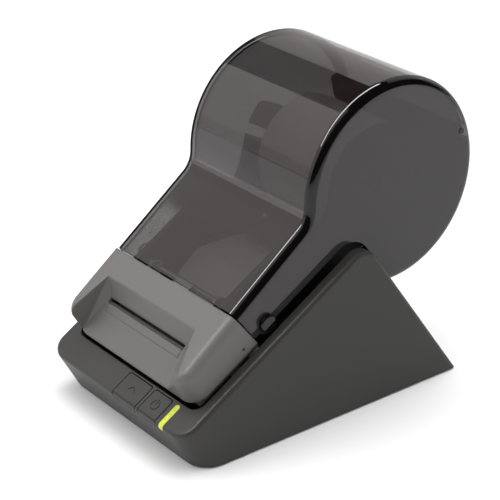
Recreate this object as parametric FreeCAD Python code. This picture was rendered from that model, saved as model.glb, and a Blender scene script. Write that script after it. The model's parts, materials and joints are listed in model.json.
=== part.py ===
import FreeCAD, Part
import math
import os

V = FreeCAD.Vector

# Overall stance, millimetres, front towards -Y
overall_depth = 178.9
foot_proud = 0.8

# Base wedge
base_width = 110.3
base_floor_depth = 154.4
front_undercut = 10.4
deck_front_height = 19.7
deck_slope = 31.2
seat_ahead = 22.55
seat_below = 21.5
wing_corner_radius = 9.5
front_corner_low = 11.5
front_corner_high = 9.0
corner_loft_height = 40.0
rim_round = 2.0
base_wall = 2.2

# Well in the deck that takes the bezel and the cover
wing_width = 5.95
well_front = 14.5
well_corner = 6.0
well_depth = 40.0
lip_depth = 5.0
lip_wall = 1.6

# Connector panel in the rear wall
panel_width = 62.0
panel_sill = 2.4
panel_height = 18.0
panel_land = 1.7

# Seam between bezel and cover, neck slope, drum
seam_along = 54.1
seam_above = 22.0
seam_gap = 0.9
neck_slope = 37.5
drum_radius = 50.3
drum_height = 105.4

# Cover moulding
cover_side_gap = 2.35
cover_wall = 2.0
cover_edge_round = 4.5
neck_blend = 12.0
cover_rim_gap = 3.2
cover_back_gap = 1.5
knob_along = 65.6
knob_above = 5.2
knob_radius = 4.4
knob_proud = 2.5
knob_pad = 1.3
hinge_inset = 6.25
hinge_angle = 20.7
hinge_pin_radius = 1.4
hinge_fit = 0.08
barrel_radius = 3.2
barrel_gap = 0.5
cradle_side_gap = 0.6
cradle_wall = 2.0
cradle_skin_gap = 0.6
cradle_top_gap = 7.4
cradle_tail = 10.0
cradle_land = 2.5
cradle_web_gap = 0.65

# Front bezel
bezel_nose = 38.4
bezel_side_gap = 0.9
bezel_front_gap = 1.0
bezel_deck_gap = 0.6
bezel_corner = 9.0
bezel_round = 4.8
bezel_tuck = 1.4
bezel_wall = 2.2
bezel_overrun = 3.0
bezel_skirt_inset = 3.0
bezel_skirt_depth = 3.0
recess_back = 13.6
recess_left_flare = 1.2
recess_right_flare = 7.1
recess_back_drop = 11.0
slot_left_room = 3.9
slot_right_room = 2.9
slot_step = 2.2
slot_drop = 2.0
lip_reach = 38.0
lip_drop = 14.0
lip_cheek = 5.3
lip_right_flare = 2.1
tear_strip = 4.0
tear_thick = 0.7
tear_pitch = 1.2
tear_tooth = 0.8

# Deck controls
control_back = 13.0
control_drop = 2.6
control_gap = 0.45
control_wall = 1.8
control_corner = 1.4
pipe_side = 16.15
pipe_width = 3.0
pipe_gap = 3.3
power_width = 13.2
button_gap = 2.6
feed_width = 17.7
button_mid = 7.0
stem_radius = 1.8
press_travel = 0.5
press_clear = 0.3
symbol_depth = 0.25
switch_board_drop = 9.5
switch_board_thick = 1.2
switch_body = 6.0
switch_height = 3.2
switch_post_radius = 2.6
switch_post_out = 4.5
switch_board_end = 8.0

# Media and print station
label_width = 54.0
label_centre = -4.5
web_thick = 0.3
web_gap = 0.3
web_rest = 6.0
level_ahead = 34.7
spool_behind = 10.4
spool_below = 10.85
axle_radius = 2.5
axle_fit = 0.08
core_radius = 12.7
core_wall = 2.0
roll_bay_gap = 2.2
roll_inset = 1.2
left_flange_radius = 20.0
flange_thick = 2.0
platen_along = 38.0
platen_above = 0.4
platen_radius = 6.0
platen_shaft_radius = 2.0
platen_side_gap = 0.6
bushing_radius = 3.6
bushing_flange = 4.6
bushing_fit = 0.08

# Gear train
gear_module = 0.8
platen_teeth = 18
idler_teeth = 22
pinion_teeth = 10
gear_width = 4.0
gear_stand = 1.5
gear_backlash = 0.22
idler_turn = -12.0
pinion_turn = -26.0
idler_pin_radius = 1.5
motor_radius = 11.0
motor_length = 17.0
motor_shaft_radius = 1.0
motor_ear = 15.0

# Thermal head
head_over = 1.0
head_depth = 11.0
head_thick = 1.6
head_lead = 3.5
bracket_thick = 1.6
pivot_behind = 14.0
pivot_rise = 14.0
pivot_radius = 1.5
pivot_fit = 0.08

# Side frames
frame_left_room = 3.5
frame_right_room = 6.0
frame_wall = 3.0
frame_rim = 16.3
frame_floor = 12.0
frame_flange = 8.0
slot_mouth_ahead = 17.7
slot_mouth_above = 31.7
frame_nose = 5.0
frame_chin = 12.0
frame_heel = 40.2
frame_window = 7.0
foot_pitch = 16.0
foot_half = 6.0
pinion_hole = 4.0

# Plate, board and fixings
plate_thick = 2.2
plate_gap = 0.4
plate_screw_radius = 1.4
plate_boss_radius = 3.2
plate_boss_gap = 2.4
plate_boss_rib = 2.0
foot_radius = 6.0
foot_sunk = 1.2
foot_gap = 1.0
plate_screw_length = 9.0
frame_screw_length = 10.0
board_thick = 1.6
board_stand = 4.0
board_width = 54.0
board_depth = 58.0
fixing_radius = 1.25
fixing_head = 2.6
fixing_head_height = 1.6

# Derived places in the side view (y, z)
floor_z = foot_proud
y_front = -overall_depth / 2
deck_edge = (y_front, floor_z + deck_front_height)
deck_dir = (math.cos(math.radians(deck_slope)), math.sin(math.radians(deck_slope)))
neck_dir = (math.cos(math.radians(neck_slope)), math.sin(math.radians(neck_slope)))
front_low_y = y_front + front_undercut
back_low_y = front_low_y + base_floor_depth
drum = (overall_depth / 2 - drum_radius, floor_z + drum_height)
back_run = back_low_y - drum[0] + seat_ahead
back_rise = drum[1] - seat_below - floor_z
panel_inset = (panel_sill + panel_height) * back_run / back_rise + panel_land
back_dir = (-back_run / math.hypot(back_run, back_rise), back_rise / math.hypot(back_run, back_rise))
hb = base_width / 2
hw = hb - wing_width
hc = hw - cover_side_gap
hz = hw - bezel_side_gap
web_left = label_centre - label_width / 2
web_right = label_centre + label_width / 2
frame_left = web_left - frame_left_room - frame_wall
frame_right = web_right + frame_right_room
slot_left = web_left - slot_left_room
slot_right = web_right + slot_right_room
recess_top_left = slot_left - recess_left_flare
recess_top_right = slot_right + recess_right_flare
lip_left = -hz + lip_cheek
lip_right = slot_right + lip_right_flare
pipe_right = hb - pipe_side
pipe_left = pipe_right - pipe_width
power_right = pipe_left - pipe_gap
power_left = power_right - power_width
feed_right = power_left - button_gap
feed_left = feed_right - feed_width
head_length = label_width + 2 * head_over
hinge_reach = drum_radius - hinge_inset
cradle_inner = drum_radius - cradle_skin_gap - cradle_wall
right_flange_radius = cradle_inner - math.hypot(spool_behind, spool_below) - roll_bay_gap
roll_radius = right_flange_radius - roll_inset
tilt = math.radians(neck_slope - deck_slope)


# Point on the side view, v along the deck from its front edge, w above it
def deck(v, w):
    c, s = deck_dir
    return (deck_edge[0] + v * c - w * s, deck_edge[1] + v * s + w * c)


seam = deck(seam_along, seam_above)
spool = (drum[0] + spool_behind, drum[1] - spool_below)


# Point on the side view, u along the neck from the seam, w above it
def neck(u, w):
    c, s = neck_dir
    return (seam[0] + u * c - w * s, seam[1] + u * s + w * c)


# Point from the spool axis, v along the deck and w away from it
def by_spool(v, w):
    c, s = deck_dir
    return (spool[0] + v * c - w * s, spool[1] + v * s + w * c)


# Neck depth w at which a line of fixed u reaches deck height h
def neck_depth(u, h):
    return (h - seam_above - u * math.sin(tilt)) / math.cos(tilt)


# Height of the rear plane above a given y, moved outwards by gap
def back_line(gap):
    return (back_low_y + gap * back_dir[1], floor_z - gap * back_dir[0])


def cross_lines(p, d, q, e):
    det = d[0] * e[1] - d[1] * e[0]
    t = ((q[0] - p[0]) * e[1] - (q[1] - p[1]) * e[0]) / det
    return (p[0] + t * d[0], p[1] + t * d[1])


def side(a, b):
    return V(0, a, b)


# Closed outline with a radius at each corner, corners given as (a, b, radius)
def rounded(corners, place=side):
    ends = []
    count = len(corners)
    for i in range(count):
        p = place(corners[i][0], corners[i][1])
        a = place(corners[i - 1][0], corners[i - 1][1])
        b = place(corners[(i + 1) % count][0], corners[(i + 1) % count][1])
        r = corners[i][2] if len(corners[i]) > 2 else 0
        if r <= 0:
            ends.append((p, p, None))
            continue
        da = (a - p).normalize()
        db = (b - p).normalize()
        half = da.getAngle(db) / 2
        reach = r / math.tan(half)
        mid = p + (da + db).normalize() * (r / math.sin(half) - r)
        ends.append((p + da * reach, p + db * reach, mid))
    edges = []
    for i in range(count):
        start, stop, mid = ends[i]
        if mid is not None:
            edges.append(Part.Arc(start, mid, stop).toShape())
        after = ends[(i + 1) % count][0]
        if (after - stop).Length > 1e-6:
            edges.append(Part.makeLine(stop, after))
    return Part.Wire(edges)


# Solid between two x planes from a side outline
def slab(wire, x0, x1):
    face = Part.Face(wire)
    face.translate(V(x0, 0, 0))
    return face.extrude(V(x1 - x0, 0, 0))


def rod(radius, x0, x1, at):
    return Part.makeCylinder(radius, x1 - x0, V(x0, at[0], at[1]), V(1, 0, 0))


def post(radius, x, y, z0, z1):
    return Part.makeCylinder(radius, z1 - z0, V(x, y, z0))


def block(x0, x1, y0, y1, z0, z1):
    return Part.makeBox(x1 - x0, y1 - y0, z1 - z0, V(x0, y0, z0))


def mirrored(shape):
    return shape.mirror(V(0, 0, 0), V(1, 0, 0))


def joined(shapes):
    first = shapes[0]
    rest = shapes[1:]
    return first.fuse(rest).removeSplitter() if rest else first


def on_circle(centre, radius, degrees):
    a = math.radians(degrees)
    return (centre[0] + radius * math.cos(a), centre[1] + radius * math.sin(a))


# Open path moved sideways by d, to the left of its direction when d is positive
def shifted(points, d):
    dirs = []
    for i in range(len(points) - 1):
        dy = points[i + 1][0] - points[i][0]
        dz = points[i + 1][1] - points[i][1]
        n = math.hypot(dy, dz)
        dirs.append((dy / n, dz / n))
    out = []
    for i in range(len(points)):
        a = dirs[max(i - 1, 0)]
        b = dirs[min(i, len(dirs) - 1)]
        pa = (points[i][0] - a[1] * d, points[i][1] + a[0] * d)
        pb = (points[i][0] - b[1] * d, points[i][1] + b[0] * d)
        if abs(a[0] * b[1] - a[1] * b[0]) < 1e-9:
            out.append(pa)
        else:
            out.append(cross_lines(pa, a, pb, b))
    return out


# Band of even thickness along a bent path, between offsets low and high
def ribbon(points, radius, low, high):
    corners = []
    for d in (high, low):
        row = shifted(points, d)
        line = []
        for i, p in enumerate(row):
            r = 0
            if 0 < i < len(row) - 1:
                ay = points[i][0] - points[i - 1][0]
                az = points[i][1] - points[i - 1][1]
                by = points[i + 1][0] - points[i][0]
                bz = points[i + 1][1] - points[i][1]
                r = radius - d if ay * bz - az * by > 0 else radius + d
            line.append((p[0], p[1], r))
        corners += line if d == high else line[::-1]
    return rounded(corners)


# Half space beyond a plane through three points, on the side of a given point
def half_space(p, q, r, towards, back=0.0):
    normal = (q - p).cross(r - p).normalize()
    if normal.dot(towards - p) < 0:
        normal = normal * -1
    size = 400.0
    cube = Part.makeBox(size, size, size, V(-size / 2, -size / 2, 0))
    cube.Placement = FreeCAD.Placement(p - normal * back, FreeCAD.Rotation(V(0, 0, 1), normal))
    return cube


# Prism standing on the deck, x and v limits with rounded corners, w0 to w1
def deck_prism(x0, x1, v0, v1, radius, w0, w1):
    def lay(x, v):
        y, z = deck(v, w0)
        return V(x, y, z)
    corners = [(x0, v0, radius), (x1, v0, radius), (x1, v1, radius), (x0, v1, radius)]
    up = V(0, -deck_dir[1], deck_dir[0]) * (w1 - w0)
    return Part.Face(rounded(corners, lay)).extrude(up)


def deck_post(radius, x, v, w0, w1):
    y, z = deck(v, w0)
    return Part.makeCylinder(radius, w1 - w0, V(x, y, z), V(0, -deck_dir[1], deck_dir[0]))


# Plan outline of the base at height z, walls moved in by inset
def base_plan(z, inset):
    rise = (z - floor_z) / corner_loft_height
    front = front_low_y - (z - floor_z) * front_undercut / deck_front_height + inset
    radius = front_corner_low + (front_corner_high - front_corner_low) * rise - inset
    h = hb - inset
    rear = back_low_y + 20
    corners = [(-h, rear), (-h, front, radius), (h, front, radius), (h, rear)]
    return rounded(corners, lambda x, y: V(x, y, z))


# Wedge block of the base with all faces moved in by inset, floor left open when inset
def base_block(inset):
    low = floor_z - (1.0 if inset else 0.0)
    high = floor_z + corner_loft_height
    lower = Part.makeLoft([base_plan(low, inset), base_plan(high, inset)], True, True)
    h = hb - inset
    upper = block(-h, h, y_front + 30, overall_depth, high - 0.01, high + 90)
    body = lower.fuse(upper)
    rim = deck(-60, -inset)
    rear = back_line(-inset)
    apex = cross_lines(rim, deck_dir, rear, back_dir)
    foot = cross_lines(rear, back_dir, (0, low), (1, 0))
    outline = [(rim[0], low), (rim[0], rim[1]), (apex[0], apex[1], wing_corner_radius - inset)]
    outline.append((foot[0], foot[1]))
    return body.common(slab(rounded(outline), -h - 1, h + 1)).removeSplitter()


def rim_edges(shape):
    found = []
    rear = back_line(0)
    for e in shape.Edges:
        m = e.valueAt((e.FirstParameter + e.LastParameter) / 2)
        w = (m.z - deck_edge[1]) * deck_dir[0] - (m.y - deck_edge[0]) * deck_dir[1]
        out = (m.y - rear[0]) * back_dir[1] - (m.z - rear[1]) * back_dir[0]
        along_x = abs(e.tangentAt(e.FirstParameter).x) > 0.999
        if abs(w) < 1e-4 and not (along_x and m.y > y_front + 30):
            found.append(e)
        elif abs(out) < 1e-4 and abs(abs(m.x) - hb) < 1e-4:
            found.append(e)
        elif abs(abs(m.x) - hb) < 1e-4 and e.Curve.TypeId == "Part::GeomCircle":
            found.append(e)
    return found


def base_outer():
    body = base_block(0)
    return body.makeFillet(rim_round, rim_edges(body))


def control_void(x0, x1, gap):
    low = -control_drop - gap
    if gap:
        low = -control_drop - press_travel - press_clear
    return deck_prism(x0 - gap, x1 + gap, -8, control_back + gap, control_corner, low, 6)


def panel_void(grow):
    y0 = back_low_y - panel_inset - grow
    h = panel_width / 2 + grow
    z0 = floor_z + panel_sill - grow
    return block(-h, h, y0, y0 + 60, z0, floor_z + panel_sill + panel_height + grow)


def plate_screw_places():
    y0 = front_low_y + 28
    y1 = back_low_y - 40
    x = hb - base_wall - plate_boss_radius - plate_boss_gap
    return [(-x, y0), (x, y0), (-x, y1), (x, y1)]


def base_shell():
    outer = base_outer()
    inner = base_block(base_wall)
    shell = outer.cut(panel_void(0)).cut(inner.cut(panel_void(base_wall)))
    well = deck_prism(-hw, hw, well_front, well_front + 220, well_corner, -well_depth, 20)
    ring = deck_prism(-hw - lip_wall, hw + lip_wall, well_front - lip_wall, well_front + 96,
                      well_corner, -lip_depth, -base_wall / 2)
    shell = shell.fuse(ring.common(base_block(base_wall / 2)))
    bosses = []
    top = floor_z + plate_thick + 12
    for x, y in plate_screw_places():
        bosses.append(post(plate_boss_radius, x, y, floor_z + plate_thick, top))
        x0, x1 = sorted((x, math.copysign(hb - base_wall / 2, x)))
        bosses.append(block(x0, x1, y - plate_boss_rib / 2, y + plate_boss_rib / 2, floor_z + plate_thick, top))
    for x in (feed_left - switch_post_out, pipe_right + switch_post_out):
        bosses.append(deck_post(switch_post_radius, x, 8.0, -switch_board_drop, -base_wall / 2))
    shell = shell.fuse(bosses).cut(well).cut(rod(drum_radius + cover_back_gap, -hw, hw, drum))
    for x, y in plate_screw_places():
        shell = shell.cut(post(plate_screw_radius, x, y, floor_z, top - 2))
    for x0, x1 in ((feed_left, feed_right), (power_left, power_right), (pipe_left, pipe_right)):
        gap = control_gap if x1 < pipe_left else 0.0
        shell = shell.cut(control_void(x0, x1, gap))
    shell = shell.cut(usb_void()).cut(dc_void())
    return shell.removeSplitter()


panel_y = back_low_y - panel_inset
board_z = floor_z + plate_thick + board_stand
usb_x = -12.0
usb_wide = 12.0
usb_tall = 10.8
dc_x = 13.0
dc_wide = 9.0
dc_tall = 11.0
socket_deep = 15.0
socket_gap = 0.4


def usb_void():
    z0 = board_z + board_thick - socket_gap
    return block(usb_x - usb_wide / 2 - socket_gap, usb_x + usb_wide / 2 + socket_gap,
                 panel_y - base_wall - 1, panel_y + 1, z0, z0 + usb_tall + 2 * socket_gap)


def dc_void():
    z0 = board_z + board_thick - socket_gap
    return block(dc_x - dc_wide / 2 - socket_gap, dc_x + dc_wide / 2 + socket_gap,
                 panel_y - base_wall - 1, panel_y + 1, z0, z0 + dc_tall + 2 * socket_gap)


def usb_socket():
    z0 = board_z + board_thick
    shell = block(usb_x - usb_wide / 2, usb_x + usb_wide / 2, panel_y - socket_deep, panel_y,
                  z0, z0 + usb_tall)
    half = 4.3
    mouth = rounded([(usb_x - half, z0 + 1.4), (usb_x + half, z0 + 1.4), (usb_x + half, z0 + 7.2),
                     (usb_x + half - 1.6, z0 + 9.2), (usb_x - half + 1.6, z0 + 9.2),
                     (usb_x - half, z0 + 7.2)], lambda x, z: V(x, panel_y - 9, z))
    shell = shell.cut(Part.Face(mouth).extrude(V(0, 12, 0)))
    return shell


def dc_inlet():
    z0 = board_z + board_thick
    body = block(dc_x - dc_wide / 2, dc_x + dc_wide / 2, panel_y - socket_deep, panel_y, z0, z0 + dc_tall)
    at = V(dc_x, panel_y - 10, z0 + 5.8)
    body = body.cut(Part.makeCylinder(3.1, 14, at, V(0, 1, 0)))
    return body.fuse(Part.makeCylinder(1.0, 8.5, at - V(0, 0.5, 0), V(0, 1, 0)))


# Bottom plate with bosses for frames and board
def frame_screw_places():
    x0 = frame_left - frame_flange / 2
    x1 = frame_right + frame_wall + frame_flange / 2
    front = platen[0] + platen_radius + foot_pitch - 3
    rear = spool[0] - frame_heel - foot_half - 1.4
    return [(x0, front), (x0, rear), (x1, rear - foot_pitch), (x1, rear)]


def board_screw_places():
    x = board_width / 2 - 4
    y1 = panel_y - base_wall - 5
    y0 = panel_y - base_wall - board_depth + 4
    return [(-x, y0), (x, y0), (-x, y1), (x, y1)]


def foot_places():
    y0 = front_low_y + 16
    y1 = panel_y - base_wall - plate_gap - foot_gap - foot_radius
    x = hb - base_wall - plate_gap - foot_gap - foot_radius - 3
    return [(-x, y0), (x, y0), (-x, y1), (x, y1)]


def base_plate():
    inset = base_wall + plate_gap
    rear = back_line(-inset)
    low = base_plan(floor_z, inset)
    high = base_plan(floor_z + plate_thick, inset)
    body = Part.makeLoft([low, high], True, True)
    end = cross_lines(rear, back_dir, (0, floor_z + plate_thick), (1, 0))
    body = body.common(block(-hb, hb, y_front, end[0], floor_z, floor_z + plate_thick))
    body = body.cut(panel_void(base_wall + plate_gap))
    parts = [body]
    top = floor_z + plate_thick
    for x, y in frame_screw_places():
        parts.append(Part.makeCone(5.0, 3.6, frame_floor + floor_z - top, V(x, y, top)))
    for x, y in board_screw_places():
        parts.append(post(3.0, x, y, top - 0.5, board_z))
    body = joined(parts)
    for x, y in frame_screw_places():
        body = body.cut(post(fixing_radius, x, y, top - 1, frame_floor + floor_z))
    for x, y in board_screw_places():
        body = body.cut(post(fixing_radius, x, y, top - 1, board_z))
    for x, y in foot_places():
        body = body.cut(post(foot_radius, x, y, floor_z - 1, floor_z + foot_sunk))
    for x, y in plate_screw_places():
        body = body.cut(post(plate_screw_radius + 0.2, x, y, floor_z, top))
        body = body.cut(post(fixing_head + 0.2, x, y, floor_z - 1, floor_z + 1.4))
    return body


def rubber_feet():
    feet = []
    for x, y in foot_places():
        foot = post(foot_radius, x, y, 0, floor_z + foot_sunk)
        feet.append(foot.makeChamfer(0.4, [e for e in foot.Edges if e.CenterOfMass.z < 0.01 and e.Closed]))
    return Part.makeCompound(feet)


# Cross-slotted screw standing on z, head below or above the shank
def screw(x, y, seat, length, down):
    way = -1 if down else 1
    shank = Part.makeCylinder(fixing_radius, length, V(x, y, seat), V(0, 0, way))
    head = Part.makeCylinder(fixing_head, fixing_head_height, V(x, y, seat), V(0, 0, -way))
    body = shank.fuse(head)
    far = seat - way * fixing_head_height
    for a in (0, 90):
        bar = Part.makeBox(3.2, 0.7, 1.4, V(-1.6, -0.35, -0.7))
        bar.rotate(V(0, 0, 0), V(0, 0, 1), a)
        bar.translate(V(x, y, far))
        body = body.cut(bar)
    return body


def plate_screws():
    made = [screw(x, y, floor_z + 1.4, plate_screw_length, False) for x, y in plate_screw_places()]
    return Part.makeCompound(made)


# Smoked cover
def cover_points(skin):
    radius = neck_blend + skin
    centre_u = (drum[0] - seam[0]) * neck_dir[0] + (drum[1] - seam[1]) * neck_dir[1]
    centre_w = (drum[1] - seam[1]) * neck_dir[0] - (drum[0] - seam[0]) * neck_dir[1]
    reach = drum_radius + neck_blend
    blend_u = centre_u - math.sqrt(reach ** 2 - (neck_blend - centre_w) ** 2)
    hub = neck(blend_u, neck_blend)
    toe = neck(blend_u, -skin)
    k = (drum_radius - skin) / reach
    heel = (drum[0] + (hub[0] - drum[0]) * k, drum[1] + (hub[1] - drum[1]) * k)
    my = (toe[0] + heel[0]) / 2 - hub[0]
    mz = (toe[1] + heel[1]) / 2 - hub[1]
    n = math.hypot(my, mz)
    mid = (hub[0] + my / n * radius, hub[1] + mz / n * radius)
    return toe, mid, heel


# Neck, blend and drum line moved in by skin, closed deep inside the base
def cover_wire(skin):
    toe, mid, heel = cover_points(skin)
    radius = drum_radius - skin
    start = math.degrees(math.atan2(heel[1] - drum[1], heel[0] - drum[0]))
    stop = -100.0
    lead = neck(-8 if skin else seam_gap, -skin)
    end = on_circle(drum, radius, stop)
    over = on_circle(drum, radius, (start + stop) / 2)
    edges = [Part.makeLine(side(*lead), side(*toe))]
    edges.append(Part.Arc(side(*toe), side(*mid), side(*heel)).toShape())
    edges.append(Part.Arc(side(*heel), side(*over), side(*end)).toShape())
    row = [end, (drum[0] - drum_radius / 2, -drum_radius), deck(40, -40), lead]
    for a, b in zip(row[:-1], row[1:]):
        edges.append(Part.makeLine(side(*a), side(*b)))
    return Part.Wire(edges)


# Room of the cover: behind the seam, above the deck rim and behind the rear wall
def cover_room():
    low = neck(seam_gap, neck_depth(seam_gap, cover_rim_gap))
    rear = back_line(cover_back_gap)
    apex = cross_lines(low, deck_dir, rear, back_dir)
    high = 2 * (drum_height + drum_radius)
    outline = [low, apex + (wing_corner_radius + cover_rim_gap,), rear, (overall_depth, rear[1]),
               (overall_depth, high), neck(seam_gap, high)]
    return slab(rounded(outline), -hb, hb)


# Edges of the neck, blend and drum arcs lying on the two side faces
def crown_edges(body, half, skin):
    toe, mid, heel = cover_points(skin)
    found = []
    for e in body.Edges:
        m = e.valueAt((e.FirstParameter + e.LastParameter) / 2)
        if abs(abs(m.x) - half) > 1e-4:
            continue
        u = (m.y - seam[0]) * neck_dir[0] + (m.z - seam[1]) * neck_dir[1]
        w = (m.z - seam[1]) * neck_dir[0] - (m.y - seam[0]) * neck_dir[1]
        r = math.hypot(m.y - drum[0], m.z - drum[1])
        on_neck = abs(w + skin) < 1e-3 and u > -9
        on_drum = abs(r - drum_radius + skin) < 1e-3
        on_mid = math.hypot(m.y - mid[0], m.z - mid[1]) < 1e-2
        if on_neck or on_drum or on_mid:
            found.append(e)
    return found


hinge = on_circle(drum, hinge_reach, hinge_angle)


def smoke_cover():
    outer = slab(cover_wire(0), -hc, hc)
    outer = outer.makeFillet(cover_edge_round, crown_edges(outer, hc, 0)).common(cover_room())
    half = hc - cover_wall
    inner = slab(cover_wire(cover_wall), -half, half)
    inner = inner.makeFillet(cover_edge_round - cover_wall, crown_edges(inner, half, cover_wall))
    body = outer.cut(inner)
    reach = 3 * drum_radius
    fan = [drum, on_circle(drum, reach, hinge_angle), on_circle(drum, reach, -40), on_circle(drum, reach, -110)]
    body = body.cut(slab(rounded(fan), -half, half))
    body = body.cut(rod(barrel_radius + barrel_gap, -half, half, hinge))
    at = deck(knob_along, knob_above)
    pad = rod(knob_radius + knob_pad, half, hc, at)
    knob = rod(knob_radius, half, hc + knob_proud, at)
    knob = knob.makeFillet(1.1, [e for e in knob.Edges if e.Closed and e.CenterOfMass.x > hc])
    for piece in (pad, knob):
        body = body.fuse([piece, mirrored(piece)])
    body = body.cut(rod(hinge_pin_radius + hinge_fit, -hc - 1, hc + 1, hinge))
    return body.removeSplitter()


# Where an arc about the drum axis comes down onto a plane along the rear wall, as point and angle
def cradle_end(radius, gap):
    rear = back_line(gap)
    dy = drum[0] - rear[0]
    dz = drum[1] - rear[1]
    away = dy * back_dir[1] - dz * back_dir[0]
    along = dy * back_dir[0] + dz * back_dir[1]
    spread = math.acos(away / radius) if away < radius else 0.0
    t = along - radius * math.sin(spread)
    angle = math.degrees(math.atan2(back_dir[0], -back_dir[1]) + spread)
    return (rear[0] + t * back_dir[0], rear[1] + t * back_dir[1]), angle


# Fixed rear wall of the roll bay with the hinge barrel along its top
def rear_cradle():
    half = hc - cover_wall - cradle_side_gap
    outer = drum_radius - cradle_skin_gap
    inner = outer - cradle_wall
    top = hinge_angle - math.degrees(2 * math.asin(cradle_top_gap / 2 / hinge_reach))
    foot, heel = cradle_end(outer, -base_wall)
    crook, knee = cradle_end(inner, -base_wall - cradle_wall)
    edges = [cradle_end(drum_radius + cover_back_gap, -base_wall)[0],
             cross_lines(deck(0, -well_depth), deck_dir, back_line(-base_wall), back_dir)]
    drops = [(foot[0] - p[0]) * back_dir[0] + (foot[1] - p[1]) * back_dir[1] for p in edges]
    drop = max(cradle_tail, max(drops) + cradle_land)
    tail = (foot[0] - back_dir[0] * drop, foot[1] - back_dir[1] * drop)
    toe = cross_lines(tail, (back_dir[1], -back_dir[0]), crook, back_dir)
    o0 = side(*on_circle(drum, outer, top))
    i0 = side(*on_circle(drum, inner, top))
    edges = [Part.Arc(o0, side(*on_circle(drum, outer, (top + heel) / 2)),
                      side(*on_circle(drum, outer, heel))).toShape()]
    row = [on_circle(drum, outer, heel), foot, tail, toe, crook, on_circle(drum, inner, knee)]
    for a, b in zip(row[:-1], row[1:]):
        if math.hypot(b[0] - a[0], b[1] - a[1]) > 1e-6:
            edges.append(Part.makeLine(side(*a), side(*b)))
    edges.append(Part.Arc(side(*on_circle(drum, inner, knee)),
                          side(*on_circle(drum, inner, (top + knee) / 2)), i0).toShape())
    edges.append(Part.makeLine(i0, o0))
    wall = slab(Part.Wire(edges), -half, half)
    barrel = rod(barrel_radius, -half, half, hinge)
    sweep = hinge_inset + cradle_web_gap
    a0 = on_circle(drum, inner, top - 5)
    q0 = on_circle(hinge, sweep, hinge_angle - 101)
    b0 = on_circle(hinge, barrel_radius - 0.4, hinge_angle - 121)
    b1 = on_circle(hinge, barrel_radius - 0.4, hinge_angle - 186)
    q1 = on_circle(hinge, sweep + cradle_wall, hinge_angle - 120)
    a1 = on_circle(drum, inner, top - 12)
    a2 = on_circle(drum, inner + cradle_wall / 2, top - 9)
    web = slab(rounded([a0, q0, b0, b1, q1, a1, a2]), -half, half)
    body = joined([wall, barrel, web])
    for s in (-1, 1):
        x0, x1 = sorted((s * (half - 12), s * (half + 1)))
        body = body.cut(rod(hinge_pin_radius, x0, x1, hinge))
    return body


def cover_pins():
    half = hc - cover_wall - cradle_side_gap
    pin = rod(hinge_pin_radius, half - 12, hc + 0.3, hinge)
    return Part.makeCompound([pin, mirrored(pin)])


# Front bezel block moved in by inset, with rounded front uprights and top edge
def bezel_form(inset):
    run = bezel_overrun if inset else 0.0
    drop = well_depth if inset else 0.0
    a = deck(well_front + bezel_front_gap, bezel_deck_gap)
    b = neck(-bezel_nose, 0)
    lean = V(0, b[0] - a[0], b[1] - a[1]).normalize()
    row = shifted([(a[0] - lean.y * drop, a[1] - lean.z * drop), b, neck(run, 0)], -inset)
    end = neck(run, neck_depth(run, bezel_deck_gap - drop))
    body = slab(rounded(row + [end]), -hz + inset, hz - inset)
    upright = [e for e in body.Edges if abs(e.tangentAt(e.FirstParameter).dot(lean)) > 1 - 1e-4]
    body = body.makeFillet(bezel_corner - inset, upright)
    top = []
    for e in body.Edges:
        span = e.LastParameter - e.FirstParameter
        pts = [e.valueAt(e.FirstParameter + k * span / 4) for k in range(5)]
        ws = [(p.z - seam[1]) * neck_dir[0] - (p.y - seam[0]) * neck_dir[1] for p in pts]
        us = [(p.y - seam[0]) * neck_dir[0] + (p.z - seam[1]) * neck_dir[1] for p in pts]
        if min(us) < run - 1e-3 and max(abs(w + inset) for w in ws) < 1e-4:
            top.append(e)
    return body.makeFillet(bezel_round - inset, top)


def bezel_outer():
    body = bezel_form(0)
    front = deck(well_front + bezel_front_gap, bezel_deck_gap)[0]
    low = []
    for e in body.Edges:
        pts = [e.valueAt(e.FirstParameter), e.valueAt((e.FirstParameter + e.LastParameter) / 2)]
        hs = [(p.z - deck_edge[1]) * deck_dir[0] - (p.y - deck_edge[0]) * deck_dir[1] for p in pts]
        if max(abs(h - bezel_deck_gap) for h in hs) < 1e-4:
            if abs(e.CenterOfMass.x) > 1 or e.CenterOfMass.y < front + 2:
                low.append(e)
    return body.makeFillet(bezel_tuck, low)


# Side line of the label recess: rear wall, slot mouth, ramp, lip, run-out
def recess_path():
    top = neck(-recess_back, 0)
    mouth = (top[0], top[1] - recess_back_drop)
    ramp = (mouth[0] - slot_step, mouth[1] - slot_drop)
    lip = neck(-lip_reach, -lip_drop)
    n = math.hypot(lip[0] - ramp[0], lip[1] - ramp[1])
    out = (lip[0] + (lip[0] - ramp[0]) / n * 20, lip[1] + (lip[1] - ramp[1]) / n * 20)
    return [(top[0], top[1] + 20), mouth, ramp, lip, out]


def recess_void(grow):
    row = shifted(recess_path(), grow)
    far = (row[-1][0] - 60, row[-1][1] + 80)
    body = slab(rounded(row + [far]), -2 * hc, 2 * hc)
    top = neck(-recess_back, 0)
    path = recess_path()
    inside = V((slot_left + slot_right) / 2, path[2][0] - 6, path[2][1])
    lip = path[3]

    def at(x, p):
        return V(x, p[0], p[1])
    flare = at(lip_left, lip) + V(0, -neck_dir[1], neck_dir[0]) * 20
    body = body.common(half_space(at(recess_top_left, top), at(lip_left, lip), flare, inside, grow))
    body = body.common(half_space(at(recess_top_left, top), at(slot_left, path[1]), at(lip_left, lip),
                                  inside, grow))
    return body.common(half_space(at(recess_top_right, top), at(slot_right, path[1]), at(lip_right, lip),
                                  inside, grow))


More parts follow.
